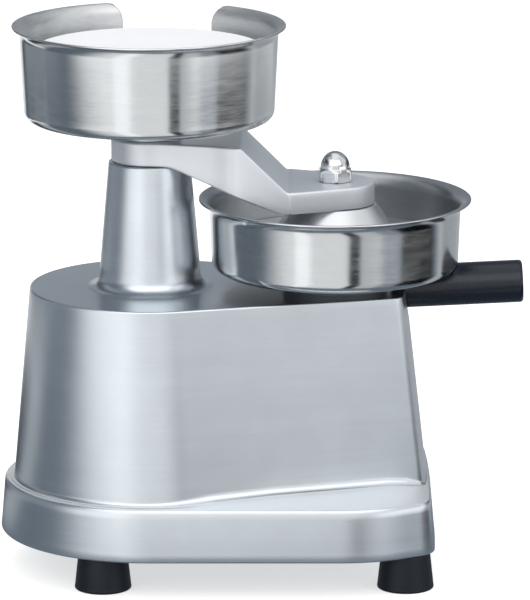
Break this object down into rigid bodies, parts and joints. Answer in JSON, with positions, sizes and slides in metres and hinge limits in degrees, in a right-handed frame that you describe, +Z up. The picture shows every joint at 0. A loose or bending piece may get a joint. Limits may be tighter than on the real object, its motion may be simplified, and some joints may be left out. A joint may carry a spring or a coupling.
{
  "type": "burger press",
  "caption": "Hand burger press: cast base and column, cranked arm with press head, forming bowl with lever ejector, and an upper bowl of patty papers.",
  "frame": {"origin": "middle of the footprint, on the table under the feet", "axes": "+X from the column towards the handle, +Y to the back, +Z up"},
  "size_m": [0.3032, 0.175, 0.317],
  "materials": {
    "cast_aluminium": "satin brushed casting",
    "bright_aluminium": "bright turned aluminium",
    "stainless": "brushed stainless sheet",
    "chrome": "polished",
    "steel": "machined steel",
    "bronze": "machined bronze",
    "black_plastic": "satin moulded plastic",
    "rubber": "matt rubber",
    "paper": "plain white paper"
  },
  "bodies": {
    "base": {"body_casting": "cast_aluminium", "foot_front_left": "rubber", "foot_washer_front_left": "steel", "foot_screw_front_left": "steel", "foot_back_left": "rubber", "foot_washer_back_left": "steel", "foot_screw_back_left": "steel", "foot_front_right": "rubber", "foot_washer_front_right": "steel", "foot_screw_front_right": "steel", "foot_back_right": "rubber", "foot_washer_back_right": "steel", "foot_screw_back_right": "steel", "upper_shaft_bush": "bronze", "lower_shaft_bush": "bronze", "forming_bowl": "stainless", "mould_ring": "bright_aluminium", "ejector_bush": "bronze", "lever_pin": "steel", "lever_pin_clip": "steel"},
    "arm": {"main_shaft": "steel", "stop_collar": "steel", "stop_collar_screw": "steel", "press_arm": "cast_aluminium", "arm_set_screw": "steel", "press_head": "bright_aluminium", "head_stud": "steel", "dome_nut": "chrome", "paper_bowl_hub": "steel", "paper_bowl": "stainless", "paper_bowl_screw": "steel"},
    "papers": {"paper_stack": "paper"},
    "lever": {"lever_bar": "steel", "handle_grip": "black_plastic"},
    "ejector": {"ejector_plate": "bright_aluminium", "ejector_rod": "steel", "ejector_screw": "steel"}
  },
  "joints": [
    {"name": "arm_lift", "type": "slide", "parent": "base", "child": "arm", "axis": [0, 0, 1], "range_m": [0, 0.045]},
    {"name": "papers_lift_out", "type": "slide", "parent": "arm", "child": "papers", "axis": [0, 0, 1], "range_m": [0, 0.06]},
    {"name": "handle_press", "type": "hinge", "parent": "base", "child": "lever", "pos_m": [0.07035, 0, 0.146], "axis": [0, 1, 0], "range_deg": [0, 19.3]},
    {"name": "ejector_rise", "type": "slide", "parent": "base", "child": "ejector", "axis": [0, 0, 1], "range_m": [0, 0.00895]}
  ],
  "couplings": [
    {"joint": "ejector_rise", "follows": "handle_press", "m_per_rad": 0.0265}
  ]
}
